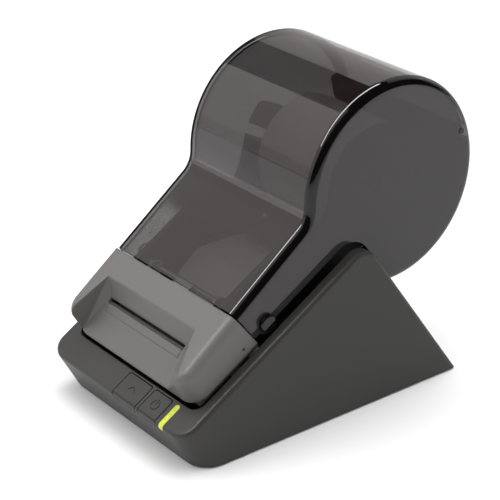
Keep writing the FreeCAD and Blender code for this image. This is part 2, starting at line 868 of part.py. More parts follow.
def front_bezel():
    skin = bezel_wall
    inner = bezel_form(skin)
    outer = bezel_outer()
    hs = hz - bezel_skirt_inset
    v0 = well_front + bezel_front_gap + bezel_skirt_inset
    d0 = deck(v0, -bezel_skirt_depth)
    d1 = deck(v0, bezel_deck_gap + 4)
    d2 = neck(0, neck_depth(0, bezel_deck_gap + 4))
    d3 = neck(0, neck_depth(0, -bezel_skirt_depth))
    skirt = slab(rounded([d0, d1, d2, d3]), -hs, hs)
    thin = 1.6
    e0 = deck(v0 + thin, -bezel_skirt_depth - 5)
    e1 = deck(v0 + thin, bezel_deck_gap + 5)
    e2 = neck(3, neck_depth(3, bezel_deck_gap + 5))
    e3 = neck(3, neck_depth(3, -bezel_skirt_depth - 5))
    throat = slab(rounded([e0, e1, e2, e3]), -hs + thin, hs - thin)
    outer = outer.fuse(skirt)
    void = recess_void(0)
    hollow = inner.common(bezel_room()).fuse(throat).cut(recess_void(skin))
    body = outer.cut(void).cut(hollow)
    path = recess_path()
    web = web_path()
    run = math.hypot(web[4][0] - web[5][0], web[4][1] - web[5][1])
    lead = ((web[4][0] - web[5][0]) / run * 8, (web[4][1] - web[5][1]) / run * 8)
    back = [(p[0] + lead[0], p[1] + lead[1]) for p in (path[1], path[2])]
    slot = slab(rounded([path[1], path[2], back[1], back[0]]), slot_left, slot_right)
    body = body.cut(slot).cut(tear_seat())
    return body.removeSplitter()


# Room inside the bezel above the deck, narrowed under the tucked lower edge
def bezel_room():
    lift = bezel_deck_gap + bezel_tuck + 0.5
    p = [deck(0, lift), deck(90, lift), deck(90, lift + 60), deck(0, lift + 60)]
    return slab(rounded(p), -hz, hz)


# Strip on the ramp under the slot, its top edge cut into teeth
def tear_frame():
    path = recess_path()
    ramp = V(0, path[2][0], path[2][1])
    lip = V(0, path[3][0], path[3][1])
    down = (lip - ramp).normalize()
    out = V(0, -down.z, down.y)
    if out.y > 0:
        out = out * -1
    return ramp, down, out


def tear_seat():
    ramp, down, out = tear_frame()
    x0 = slot_left + 0.5
    x1 = slot_right - 0.5
    base = [V(x0, 0, 0) + ramp - down * 3, V(x1, 0, 0) + ramp - down * 3,
            V(x1, 0, 0) + ramp + down * tear_strip, V(x0, 0, 0) + ramp + down * tear_strip]
    face = Part.Face(Part.makePolygon(base + [base[0]]))
    return face.extrude(out * -tear_thick)


def tear_bar():
    ramp, down, out = tear_frame()
    x0 = slot_left + 0.5
    x1 = slot_right - 0.5
    count = int((x1 - x0) / tear_pitch)
    pitch = (x1 - x0) / count
    row = []
    for i in range(count):
        row.append(V(x0 + i * pitch, 0, 0) + ramp)
        row.append(V(x0 + (i + 0.5) * pitch, 0, 0) + ramp - down * tear_tooth)
    row.append(V(x1, 0, 0) + ramp)
    row.append(V(x1, 0, 0) + ramp + down * tear_strip)
    row.append(V(x0, 0, 0) + ramp + down * tear_strip)
    face = Part.Face(Part.makePolygon(row + [row[0]]))
    return face.extrude(out * -tear_thick)


# Cap cut out of the base skin, following deck and front edge
def control_cap(x0, x1):
    cap = base_outer().common(control_void(x0, x1, 0))
    return cap.cut(base_block(control_wall))


def pressed_cap(x0, x1, symbol):
    mid = (x0 + x1) / 2
    stem_low = -switch_board_drop + switch_board_thick + switch_height + press_travel + press_clear
    stem = deck_post(stem_radius, mid, button_mid, stem_low, -control_wall / 2)
    return control_cap(x0, x1).fuse(stem).removeSplitter().cut(symbol)


def feed_button():
    mid = (feed_left + feed_right) / 2
    marks = []
    for s in (-1, 1):
        def lay(x, v):
            y, z = deck(v, -symbol_depth)
            return V(x, y, z)
        arm = [(mid, 8.6), (mid, 7.8), (mid + s * 2.4, 5.6), (mid + s * 2.4, 6.4)]
        face = Part.Face(rounded(arm, lay))
        marks.append(face.extrude(V(0, -deck_dir[1], deck_dir[0]) * 2))
    return pressed_cap(feed_left, feed_right, joined(marks))


def power_button():
    mid = (power_left + power_right) / 2
    ring = deck_post(2.6, mid, 7.0, -symbol_depth, 2).cut(deck_post(2.1, mid, 7.0, -symbol_depth - 1, 3))
    ring = ring.cut(deck_prism(mid - 1.0, mid + 1.0, 7.0, 12.0, 0, -2, 4))
    bar = deck_prism(mid - 0.25, mid + 0.25, 7.4, 10.2, 0, -symbol_depth, 2)
    return pressed_cap(power_left, power_right, Part.makeCompound([ring, bar]))


def light_pipe():
    mid = (pipe_left + pipe_right) / 2
    stem = deck_post(1.2, mid, button_mid, -switch_board_drop + switch_board_thick + 2.2, -control_wall / 2)
    return control_cap(pipe_left, pipe_right).fuse(stem).removeSplitter()


def switch_board():
    x0 = feed_left - switch_board_end
    x1 = pipe_right + switch_board_end
    low = -switch_board_drop
    board = deck_prism(x0, x1, 2.5, 12.5, 1.0, low, low + switch_board_thick)
    for x in (feed_left - switch_post_out, pipe_right + switch_post_out):
        board = board.cut(deck_post(switch_post_radius, x, 8.0, low - 1, low + 3))
    return board


def tact_switches():
    base = -switch_board_drop + switch_board_thick
    made = []
    for x0, x1 in ((feed_left, feed_right), (power_left, power_right)):
        mid = (x0 + x1) / 2
        half = switch_body / 2
        body = deck_prism(mid - half, mid + half, button_mid - half, button_mid + half, 0.5, base, base + switch_height - 0.8)
        made.append(body.fuse(deck_post(1.6, mid, button_mid, base, base + switch_height)))
    return Part.makeCompound(made)


def status_led():
    mid = (pipe_left + pipe_right) / 2
    base = -switch_board_drop + switch_board_thick
    return deck_prism(mid - 1.0, mid + 1.0, 5.4, 8.6, 0.3, base, base + 1.6)


# Print station places
platen = deck(platen_along, platen_above)
idler = on_circle(platen, gear_module * (platen_teeth + idler_teeth) / 2, idler_turn)
pinion = on_circle(idler, gear_module * (idler_teeth + pinion_teeth) / 2, pinion_turn)
gear_x = frame_right + frame_wall + gear_stand
web_low = platen[1] + platen_radius + web_gap
pivot = (platen[0] + pivot_behind, platen[1] + platen_radius + pivot_rise)


# Web from the underside of the roll, over the chute, through the nip to the slot
def web_path():
    nip = (platen[0], web_low + web_thick / 2)
    path = recess_path()
    mouth = ((path[1][0] + path[2][0]) / 2, (path[1][1] + path[2][1]) / 2)
    crest = (platen[0] + 40.0, nip[1] + 14.3)
    dip = (platen[0] + 24.0, nip[1] + 0.4)
    level = (spool[0] - level_ahead, nip[1] + 14.1)
    reach = roll_radius + web_gap + web_thick / 2
    dy = level[0] - spool[0]
    dz = level[1] - spool[1]
    dist = math.hypot(dy, dz)
    turn = math.degrees(math.atan2(dz, dy)) - math.degrees(math.acos(reach / dist))
    leave = on_circle(spool, reach, turn + 2 * math.degrees(math.acos(reach / dist)))
    return [leave, level, crest, dip, nip, mouth]


# Band from the roll through the nip, its end resting inside the slot
def label_web():
    path = web_path()
    nip, mouth = path[4], path[5]
    run = math.hypot(nip[0] - mouth[0], nip[1] - mouth[1])
    path[5] = (mouth[0] + (nip[0] - mouth[0]) * web_rest / run, mouth[1] + (nip[1] - mouth[1]) * web_rest / run)
    return slab(ribbon(path, 6.0, -web_thick / 2, web_thick / 2), web_left, web_right)


# Shallow guide plate under the web, tied between the frames
def paper_chute():
    path = web_path()
    level, crest, dip = path[1], path[2], path[3]
    start = ((path[0][0] + 7 * level[0]) / 8, (path[0][1] + 7 * level[1]) / 8)
    low = shifted([start, level, crest, dip], web_thick / 2 + web_gap + 0.3)
    low[3] = (low[3][0] + 2.0, low[3][1] + 1.6)
    plate = slab(ribbon(low, 6.0, 0.0, 1.6), frame_left + frame_wall, frame_right)
    return plate


def label_guides():
    path = web_path()
    level, crest = path[1], path[2]
    made = []
    for x, s in ((web_left, -1), (web_right, 1)):
        low = shifted([level, crest], web_thick / 2 + web_gap + 0.3)
        span = (low[1][0] - low[0][0], low[1][1] - low[0][1])
        a = (low[0][0] + 0.25 * span[0], low[0][1] + 0.25 * span[1])
        b = (low[0][0] + 0.8 * span[0], low[0][1] + 0.8 * span[1])
        body = rounded([a, b, (b[0], b[1] + 4.0, 2.0), (a[0], a[1] + 4.0, 2.0)])
        x0, x1 = sorted((x + s * 0.4, x + s * 1.9))
        made.append(slab(body, x0, x1))
    return Part.makeCompound(made)


# Place of the spool axis along the deck
def spool_along():
    return (spool[0] - deck_edge[0]) * deck_dir[0] + (spool[1] - deck_edge[1]) * deck_dir[1]


def frame_plate(x0, x1):
    heel = spool[0] - frame_heel
    floor = floor_z + frame_floor
    front = platen_along - frame_nose
    back = spool_along()
    outline = [deck(front, -frame_chin) + (3,), deck(front, 3) + (3,), deck(front + 10, 13) + (4,)]
    outline += [deck(front + 17, frame_rim) + (6,), deck(back - 46.2, frame_rim) + (5,), deck(back - 38.7, 5.5) + (4,)]
    outline += [by_spool(-31.3, 18.1) + (5,), by_spool(-20.7, 28.2) + (3,), by_spool(-13.2, 33.7) + (2,)]
    outline += [by_spool(-3.7, 37.3) + (4,), by_spool(4.8, 25.2) + (9,), by_spool(10.8, -0.3) + (8,)]
    outline += [by_spool(0.8, -11.3) + (8,), (heel + 12, spool[1] - 32.8, 12), (heel, floor), (platen[0] + 4, floor)]
    body = slab(rounded(outline), x0, x1)
    mouth = by_spool(-slot_mouth_ahead, slot_mouth_above)
    far = by_spool(-slot_mouth_ahead - 9, slot_mouth_above + 15)
    gap = axle_radius + axle_fit
    lane = ribbon([far, mouth, spool], 3.0, -gap, gap)
    body = body.cut(slab(lane, x0 - 1, x1 + 1)).cut(rod(gap, x0 - 1, x1 + 1, spool))
    body = body.cut(rod(bushing_radius, x0 - 1, x1 + 1, platen))
    body = body.cut(rod(pivot_radius, x0 - 1, x1 + 1, pivot))
    return body.cut(rod(frame_window, x0 - 1, x1 + 1, (heel - 20, platen[1] + 2)))


def frame_foot(body, x_wall, way, ys):
    floor = floor_z + frame_floor
    x0, x1 = sorted((x_wall, x_wall + way * frame_flange))
    for y in ys:
        body = body.fuse(block(x0, x1, y - foot_half, y + foot_half, floor, floor + frame_wall))
        brace = rounded([(x_wall, floor + frame_wall), (x_wall + way * 3.0, floor + frame_wall),
                         (x_wall, floor + frame_wall + 6)], lambda x, z: V(x, y + foot_half - 1.6, z))
        body = body.fuse(Part.Face(brace).extrude(V(0, 1.6, 0)))
    return body.removeSplitter()


def left_frame():
    body = frame_plate(frame_left, frame_left + frame_wall)
    places = frame_screw_places()
    body = frame_foot(body, frame_left, -1, [places[0][1], places[1][1]])
    for x, y in places[:2]:
        body = body.cut(post(fixing_radius, x, y, floor_z + 1, floor_z + frame_floor + 9))
    return body


def right_frame():
    body = frame_plate(frame_right, frame_right + frame_wall)
    body = body.cut(rod(idler_pin_radius, frame_right - 1, frame_right + frame_wall + 1, idler))
    body = body.cut(rod(pinion_hole, frame_right - 1, frame_right + frame_wall + 1, pinion))
    for at in motor_ears():
        body = body.cut(rod(fixing_radius, frame_right - 1, frame_right + frame_wall + 1, at))
    places = frame_screw_places()
    body = frame_foot(body, frame_right + frame_wall, 1, [places[2][1], places[3][1]])
    for x, y in places[2:]:
        body = body.cut(post(fixing_radius, x, y, floor_z + 1, floor_z + frame_floor + 9))
    return body


def frame_screws():
    seat = floor_z + frame_floor + frame_wall
    made = [screw(x, y, seat, frame_screw_length, True) for x, y in frame_screw_places()]
    return Part.makeCompound(made)


# Spool and roll
def spool_axle():
    x0 = frame_left - 1.0
    x1 = frame_right + frame_wall + 1.0
    body = rod(axle_radius, x0, x1, spool)
    for x, s in ((frame_left + frame_wall + 0.5, 1), (frame_right - 0.5, -1)):
        a, b = sorted((x, x + s * 0.7))
        body = body.fuse(rod(axle_radius + 2, a, b, spool))
    return body.removeSplitter()


def spool_flange(radius, x0, x1, hub0, hub1):
    disc = rod(radius, x0, x1, spool)
    disc = disc.makeFillet(0.6, [e for e in disc.Edges if e.Closed])
    hub = rod(core_radius - core_wall, hub0, hub1, spool)
    body = disc.fuse(hub)
    for k in range(6):
        body = body.cut(rod(2.6, min(x0, hub0) - 1, max(x1, hub1) + 1, on_circle(spool, 6.6, 60 * k)))
    return body.cut(rod(axle_radius, min(x0, hub0) - 1, max(x1, hub1) + 1, spool)).removeSplitter()


def spool_left_flange():
    x1 = web_left - 0.2
    return spool_flange(left_flange_radius, x1 - flange_thick, x1, x1 - 0.5, x1 + 12)


def spool_right_flange():
    x0 = web_right + 0.2
    return spool_flange(right_flange_radius, x0, x0 + flange_thick, x0 - 12, x0 + 0.5)


def label_core():
    body = rod(core_radius, web_left, web_right, spool)
    return body.cut(rod(core_radius - core_wall, web_left - 1, web_right + 1, spool))


def label_roll():
    body = rod(roll_radius, web_left, web_right, spool)
    return body.cut(rod(core_radius, web_left - 1, web_right + 1, spool))


# Platen and gear train
def platen_shaft():
    x0 = frame_left
    return rod(platen_shaft_radius, x0, gear_x + gear_width + 1.0, platen)


def platen_roller():
    x0 = frame_left + frame_wall + 2.0
    x1 = frame_right - 2.0
    body = rod(platen_radius, x0, x1, platen).cut(rod(platen_shaft_radius, x0 - 1, x1 + 1, platen))
    return body


def platen_bushings():
    made = []
    bore = platen_shaft_radius + bushing_fit
    for x, s in ((frame_left, 1), (frame_right, -1)):
        inner = x + frame_wall if s > 0 else x
        a, b = sorted((inner, inner + s * 1.0))
        body = rod(bushing_radius, x, x + frame_wall, platen).fuse(rod(bushing_flange, a, b, platen))
        made.append(body.cut(rod(bore, x - 9, x + 12, platen)).removeSplitter())
    return Part.makeCompound(made)


# Spur gear on the x axis, one tooth centred on the given angle
def gear(teeth, at, phase, bore):
    pitch = gear_module * teeth / 2
    tip = pitch + 0.85 * gear_module
    root = pitch - 1.15 * gear_module
    base = pitch * math.cos(math.radians(20))
    half = math.pi / 2 / teeth - gear_backlash / 2 / pitch
    inv = math.tan(math.radians(20)) - math.radians(20)
    corners = []
    for k in range(teeth):
        mid = math.radians(phase) + 2 * math.pi * k / teeth
        flank = []
        for r in (root, max(base, root + 0.01), pitch, tip):
            press = math.acos(min(1.0, base / r)) if r > base else 0.0
            spread = half + inv - (math.tan(press) - press)
            flank.append((r, spread))
        for r, a in flank:
            corners.append((at[0] + r * math.cos(mid - a), at[1] + r * math.sin(mid - a)))
        for r, a in flank[::-1]:
            corners.append((at[0] + r * math.cos(mid + a), at[1] + r * math.sin(mid + a)))
    body = slab(rounded(corners), gear_x, gear_x + gear_width)
    return body.cut(rod(bore, gear_x - 1, gear_x + gear_width + 1, at))


# Phase that puts a gap of the follower against the tooth of its leader
def mesh_phase(lead_teeth, lead_phase, teeth, turn):
    step = 360.0 / lead_teeth
    lag = (turn - lead_phase) % step
    return turn + 180.0 + lag * lead_teeth / teeth + 180.0 / teeth


idler_phase = mesh_phase(platen_teeth, 0.0, idler_teeth, idler_turn)
pinion_phase = mesh_phase(idler_teeth, idler_phase, pinion_teeth, pinion_turn)


def platen_gear():
    return gear(platen_teeth, platen, 0.0, platen_shaft_radius)


def idler_gear():
    body = gear(idler_teeth, idler, idler_phase, idler_pin_radius + bushing_fit)
    for k in range(5):
        body = body.cut(rod(1.3, gear_x - 1, gear_x + gear_width + 1, on_circle(idler, 4.9, 72 * k)))
    return body


def idler_pin():
    x0 = frame_right
    body = rod(idler_pin_radius, x0, gear_x + gear_width + 1.6, idler)
    return body.fuse(rod(2.8, gear_x + gear_width + 0.4, gear_x + gear_width + 1.6, idler)).removeSplitter()


def motor_pinion():
    body = gear(pinion_teeth, pinion, pinion_phase, 0.6)
    return body.fuse(rod(motor_shaft_radius, frame_right + 0.6, gear_x + gear_width + 0.8, pinion)).removeSplitter()


def motor_ears():
    return [on_circle(pinion, motor_ear, 55), on_circle(pinion, motor_ear, 235)]


def stepper_motor():
    x1 = frame_right
    can = rod(motor_radius, x1 - motor_length, x1, pinion)
    can = can.makeFillet(1.2, [e for e in can.Edges if e.Closed and e.CenterOfMass.x < x1 - 1])
    parts = [can]
    ears = motor_ears()
    ear_path = [ears[0], ears[1]]
    strap = slab(ribbon(ear_path, 0, -3.4, 3.4), x1 - 1.2, x1)
    parts.append(strap)
    for at in ears:
        parts.append(rod(3.4, x1 - 1.2, x1, at))
    body = joined(parts)
    body = body.cut(rod(motor_shaft_radius + 0.6, x1 - 6, x1 + 1, pinion))
    for at in ears:
        body = body.cut(rod(fixing_radius, x1 - 2, x1 + 1, at))
    return body


def motor_screws():
    made = []
    for at in motor_ears():
        body = rod(fixing_radius, frame_right - 1.2, frame_right + frame_wall, at)
        made.append(body.fuse(rod(fixing_head, frame_right - 1.2 - 1.4, frame_right - 1.2, at)).removeSplitter())
    return Part.makeCompound(made)


# Thermal head on a pivoted bracket above the nip
head_x0 = (frame_left + frame_wall + frame_right) / 2 - head_length / 2
head_x1 = head_x0 + head_length
head_low = web_low + web_thick + web_gap


def thermal_head():
    y0 = platen[0] - head_lead
    return block(head_x0, head_x1, y0, y0 + head_depth, head_low, head_low + head_thick)


def head_bracket():
    y0 = platen[0] - head_lead
    z0 = head_low + head_thick
    rear = (pivot[0], pivot[1])
    path = [(y0 + 0.6, z0), (y0 + head_depth + 1.5, z0), (rear[0] - 2.0, rear[1] - pivot_radius - 1.2)]
    plate = slab(ribbon(path, 3.0, 0.0, bracket_thick), head_x0 + 2, head_x1 - 2)
    cheeks = []
    a = (y0 + 3, z0 + 0.2)
    b = (y0 + head_depth, z0 + 0.2)
    outline = [a + (1,), b + (2,), (rear[0] + 2.6, rear[1] - 2.8, 2), (rear[0] + 2.6, rear[1] + 3.2, 2.5),
               (rear[0] - 3.0, rear[1] + 3.2, 2.5)]
    for x0 in (head_x0 + 2, head_x1 - 2 - bracket_thick):
        cheeks.append(slab(rounded(outline), x0, x0 + bracket_thick))
    body = joined([plate] + cheeks)
    return body.cut(rod(pivot_radius + pivot_fit, head_x0, head_x1, pivot))


def head_pivot_pin():
    return rod(pivot_radius, frame_left, frame_right + frame_wall, pivot)


# Leaf that presses the bracket down, clipped over the pivot pin
def head_spring():
    z0 = head_low + head_thick + bracket_thick
    tip = (platen[0] + 0.5, z0 + 0.7)
    knee = (platen[0] + 6.0, z0 + 6.0)
    top = (pivot[0] - 1.0, pivot[1] + pivot_radius + 0.5)
    mid = (head_x0 + head_x1) / 2
    leaf = slab(ribbon([tip, knee, top], 2.0, 0.0, 0.5), mid - 6, mid + 6)
    return leaf


def label_sensor():
    path = web_path()
    dip = path[3]
    y0 = dip[0] - 9.0
    z1 = dip[1] - web_thick / 2 - web_gap - 0.6
    body = block(label_centre - 5, label_centre + 5, y0, y0 + 6, z1 - 4.0, z1)
    lens = post(1.2, label_centre, y0 + 3, z1 - 1, z1 + 0.3)
    return body.fuse(lens).removeSplitter()


def main_board():
    y1 = panel_y - base_wall - 0.8
    board = block(-board_width / 2, board_width / 2, y1 - board_depth, y1, board_z, board_z + board_thick)
    for x, y in board_screw_places():
        board = board.cut(post(fixing_radius, x, y, board_z - 1, board_z + board_thick + 1))
    top = board_z + board_thick
    parts = [board]
    for x, y, w, d, h in ((-4, y1 - 34, 14, 14, 1.6), (15, y1 - 30, 8, 10, 1.6), (-17, y1 - 30, 5, 9, 3.0),
                          (2, y1 - 51, 20, 4.5, 6.0)):
        parts.append(block(x - w / 2, x + w / 2, y - d / 2, y + d / 2, top, top + h))
    parts.append(post(4.0, 14, y1 - 43, top, top + 9))
    return joined(parts)


def board_screws():
    made = [screw(x, y, board_z + board_thick, board_stand + board_thick - 0.5, True)
            for x, y in board_screw_places()]
    return Part.makeCompound(made)


makers = [
    base_shell, base_plate, rubber_feet, plate_screws, front_bezel, tear_bar, left_frame, right_frame,
    frame_screws, paper_chute, label_guides, label_sensor, rear_cradle, cover_pins, smoke_cover,
    spool_axle, spool_left_flange, spool_right_flange, label_core, label_roll, label_web,
    platen_shaft, platen_roller, platen_gear, platen_bushings, idler_gear, idler_pin, motor_pinion,
    stepper_motor, motor_screws, thermal_head, head_bracket, head_pivot_pin, head_spring,
    feed_button, power_button, light_pipe, switch_board, tact_switches, status_led,
    main_board, board_screws, usb_socket, dc_inlet,
]

os.makedirs("parts", exist_ok=True)
for make in makers:
    make().exportStep("parts/" + make.__name__ + ".step")
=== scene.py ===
import bpy
import bmesh
import json
import math
from mathutils import Matrix, Vector


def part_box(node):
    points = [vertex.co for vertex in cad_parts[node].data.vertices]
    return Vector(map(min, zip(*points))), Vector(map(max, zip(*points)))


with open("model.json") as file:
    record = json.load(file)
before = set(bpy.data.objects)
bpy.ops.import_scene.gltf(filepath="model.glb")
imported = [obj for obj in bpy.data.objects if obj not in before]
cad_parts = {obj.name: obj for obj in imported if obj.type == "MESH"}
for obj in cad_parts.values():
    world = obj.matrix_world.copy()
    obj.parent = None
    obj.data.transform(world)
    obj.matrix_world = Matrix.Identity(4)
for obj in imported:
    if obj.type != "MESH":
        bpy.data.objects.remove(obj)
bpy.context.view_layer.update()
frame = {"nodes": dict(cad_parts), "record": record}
print("frame loaded")


# one socket of a material, with plain maths
class Wire:
    def __init__(self, mat, socket):
        self.mat = mat
        self.socket = socket

    def math(self, kind, a, b):
        return self.mat.node("ShaderNodeMath", {"operation": kind}, {0: a, 1: b})

    def __add__(self, other): return self.math("ADD", self, other)
    def __radd__(self, other): return self.math("ADD", other, self)
    def __sub__(self, other): return self.math("SUBTRACT", self, other)
    def __rsub__(self, other): return self.math("SUBTRACT", other, self)
    def __mul__(self, other): return self.math("MULTIPLY", self, other)
    def __rmul__(self, other): return self.math("MULTIPLY", other, self)
    def __pow__(self, other): return self.math("POWER", self, other)
    def __rpow__(self, other): return self.math("POWER", other, self)
    def __gt__(self, other): return self.math("GREATER_THAN", self, other)
    def __lt__(self, other): return self.math("LESS_THAN", self, other)


# one material and its nodes
class Finish:
    def __init__(self, name):
        self.material = bpy.data.materials.new(name)
        self.material.use_nodes = True
        self.tree = self.material.node_tree
        self.shader = self.tree.nodes["Principled BSDF"]
        self.out = self.tree.nodes["Material Output"]
        self.place = Wire(self, self.tree.nodes.new("ShaderNodeTexCoord").outputs["Object"])

    # any node: settings first, then its sockets
    def node(self, kind, settings=None, inputs=None, out=0):
        made = self.tree.nodes.new(kind)
        for key, value in (settings or {}).items():
            setattr(made, key, value)
        for key, value in (inputs or {}).items():
            self.feed(made.inputs[key], value)
        return Wire(self, made.outputs[out])

    def feed(self, socket, value):
        if isinstance(value, Wire):
            self.tree.links.new(value.socket, socket)
        else:
            socket.default_value = value

    def noise(self, scale, detail, rough=0.55, place=None):
        return self.node("ShaderNodeTexNoise", None, {"Vector": place or self.place, "Scale": scale,
                                                      "Detail": detail, "Roughness": rough})

    def part(self, axis):
        return self.node("ShaderNodeSeparateXYZ", None, {0: self.place}, "XYZ".index(axis))

    # 0 to 1 from one value to another, with soft ends
    def ease(self, value, start, end):
        return self.node("ShaderNodeMapRange", {"interpolation_type": "SMOOTHSTEP"},
                         {"Value": value, "From Min": start, "From Max": end})

    def mix(self, factor, a, b):
        return self.node("ShaderNodeMix", {"data_type": "RGBA"}, {0: factor, 6: a, 7: b}, 2)

    # two tones of a look, mixed by a pattern
    def tones(self, pattern, look):
        return self.mix(pattern, rgb(look["dark"]), rgb(look["light"]))

    def bump(self, height, strength, distance, onto=None):
        inputs = {"Height": height, "Strength": strength, "Distance": distance}
        if onto:
            inputs["Normal"] = onto
        return self.node("ShaderNodeBump", None, inputs)

    def set(self, **values):
        names = {"color": "Base Color", "rough": "Roughness", "metal": "Metallic", "alpha": "Alpha",
                 "normal": "Normal", "spec": "Specular IOR Level",
                 "glow": "Emission Color", "glowPower": "Emission Strength"}
        for key, value in values.items():
            self.feed(self.shader.inputs[names[key]], value)


def rgb(color):
    return (*color, 1.0)


# painted shade in an engraved mark: its floor, known by its depth under the sloping deck, is painted dark
def sunkMarkShade(made, look):
    edgeY, edgeZ = look["edge"]
    cosine, sine = look["slope"]
    rise = (made.part("Z") - edgeZ) * cosine - (made.part("Y") - edgeY) * sine
    shallow, deep = (-look["depth"] * share for share in look["band"])
    return (rise < shallow) * (rise > deep)


# painted shade of a small round dimple: a dark disc at one point, softened at its rim
def paintedDimpleShade(made, look):
    away = made.node("ShaderNodeVectorMath", {"operation": "DISTANCE"}, {0: made.place, 1: look["at"]}, 1)
    return made.ease(away, look["radius"], look["radius"] * look["core"])


# what every moulding has, unless its own look says otherwise
mouldedBase = {"driftDetail": 2.0, "grainDetail": 2.0, "grainBreak": 0.6, "grainDepth": 0.0002,
               "softEdge": 0.0002, "edgeSamples": 8, "spec": 0.5}


# moulded plastic or rubber with a fine spark-eroded grain, a slow drift in tone and softened edges, and,
# where a look asks, painted shade on the floors of engraved symbols and in a dimple
def mouldedPlastic(name, ownLook):
    look = {**mouldedBase, **ownLook}
    made = Finish(name)
    drift = made.noise(look["driftScale"], look["driftDetail"])
    grain = made.noise(look["grainScale"], look["grainDetail"], look["grainBreak"])
    soft = made.node("ShaderNodeBevel", {"samples": look["edgeSamples"]}, {"Radius": look["softEdge"]})
    tone = made.tones(drift, look)
    # the floors of engraved symbols get a painted shade
    if "marks" in look:
        tone = made.mix(sunkMarkShade(made, look["marks"]), tone, rgb(look["marks"]["tone"]))
    if "dimpleShade" in look:
        tone = made.mix(paintedDimpleShade(made, look["dimpleShade"]), tone, rgb(look["dimpleShade"]["tone"]))
    made.set(color=tone, rough=grain * look["roughSpread"] + look["rough"], spec=look["spec"],
             normal=made.bump(grain, look["grain"], look["grainDepth"], soft))
    return made


basePlastic = {"dark": (0.0280, 0.0270, 0.0259), "light": (0.0320, 0.0309, 0.0296), "driftScale": 30,
               "rough": 0.36, "roughSpread": 0.12, "grainScale": 2600, "grain": 0.10,
               "spec": 0.26, "softEdge": 0.0008}
bezelPlastic = {"dark": (0.104, 0.1005, 0.097), "light": (0.116, 0.1120, 0.108), "driftScale": 25,
                "rough": 0.40, "roughSpread": 0.12, "grainScale": 2600, "grain": 0.08,
                "spec": 0.36, "softEdge": 0.0016,
                # painted shade: a dark spot where a small dimple sits, standing in for the shade in its
                # hollow
                "dimpleShade": {"at": (0.0483, -0.0500, 0.0505), "radius": 0.0010, "core": 0.75,
                           "tone": (0.020, 0.019, 0.018)}}
# edge and slope are the deck's, and band is the share of the depth that counts as the floor, which gets a
# painted shade
buttonPlastic = {"dark": (0.0285, 0.0275, 0.0265), "light": (0.0330, 0.0318, 0.0305), "driftScale": 40,
                 "rough": 0.36, "roughSpread": 0.1, "grainScale": 2600, "grain": 0.06, "spec": 0.25,
                 "marks": {"edge": (-0.08945, 0.02050), "slope": (0.85536, 0.51803), "depth": 0.00025,
                           "band": (0.4, 1.6), "tone": (0.008, 0.008, 0.008)}}
framePlastic = {"dark": (0.010, 0.010, 0.011), "light": (0.014, 0.014, 0.015), "driftScale": 40,
                "rough": 0.45, "roughSpread": 0.15, "grainScale": 1800, "grain": 0.10}
spoolPlastic = {"dark": (0.040, 0.039, 0.038), "light": (0.052, 0.051, 0.05), "driftScale": 60,
                "rough": 0.4, "roughSpread": 0.1, "grainScale": 1800, "grain": 0.08}
gearPlastic = {"dark": (0.66, 0.64, 0.58), "light": (0.74, 0.72, 0.67), "driftScale": 90,
               "rough": 0.38, "roughSpread": 0.1, "grainScale": 1500, "grain": 0.05}
socketPlastic = {"dark": (0.012, 0.012, 0.012), "light": (0.018, 0.018, 0.018), "driftScale": 90,
                 "rough": 0.35, "roughSpread": 0.1, "grainScale": 1500, "grain": 0.06}
footRubber = {"dark": (0.012, 0.012, 0.012), "light": (0.02, 0.02, 0.02), "driftScale": 150,
              "rough": 0.75, "roughSpread": 0.15, "grainScale": 1400, "grain": 0.3, "grainDepth": 0.0003}
platenRubber = {"dark": (0.018, 0.018, 0.019), "light": (0.026, 0.026, 0.027), "driftScale": 120,
                "rough": 0.68, "roughSpread": 0.15, "grainScale": 3000, "grain": 0.2}

# places are in metres from the part's origin, or along the neck from its front seam
smokedCover = {
    "dark": (0.0105, 0.0065, 0.0069), "light": (0.0135, 0.0088, 0.0092), "driftScale": 18, "driftDetail": 2.0,
    "alpha": 0.82, "backAlpha": 0.9, "bodyRough": 0.4, "bodySpec": 0.0, "ior": 1.5, "glossRough": 0.02,
    # side faces, the lining behind them and the knobs on them
    "sideAt": 0.04685, "sideSlack": 0.0001, "wall": 0.002, "liningSlack": 0.00002, "knobStep": 0.0002,
    "sideTint": (0.028, 0.025, 0.0255), "sideAlpha": 0.95,
    # rounded edges, and what differs on the left one
    "edgeRound": 0.0045, "edgeFull": 0.8, "rearReach": 1.4, "edgeTint": (0.003, 0.0026, 0.0026),
    "edgeAlpha": 0.985, "leftReach": 0.0021, "leftThin": 0.06,
    # neck, its bend and a painted highlight: a lighter strip at the root of the bend that stands in for the
    # light the concave bend reflects
    "seam": (-0.05457, 0.06734), "neckSlope": 37.5, "mouthFrom": 0.040, "mouthTo": 0.026, "mouthThin": 0.075,
    "bendFrom": 0.030, "bendBlur": 0.008, "bendTo": 0.0560, "bendAlpha": 0.16,
    "rootHighlightTint": (0.070, 0.060, 0.061), "rootFrom": 0.1012, "rootBlur": 0.0006, "rootTo": 0.1048,
    "rootAhead": -0.005}
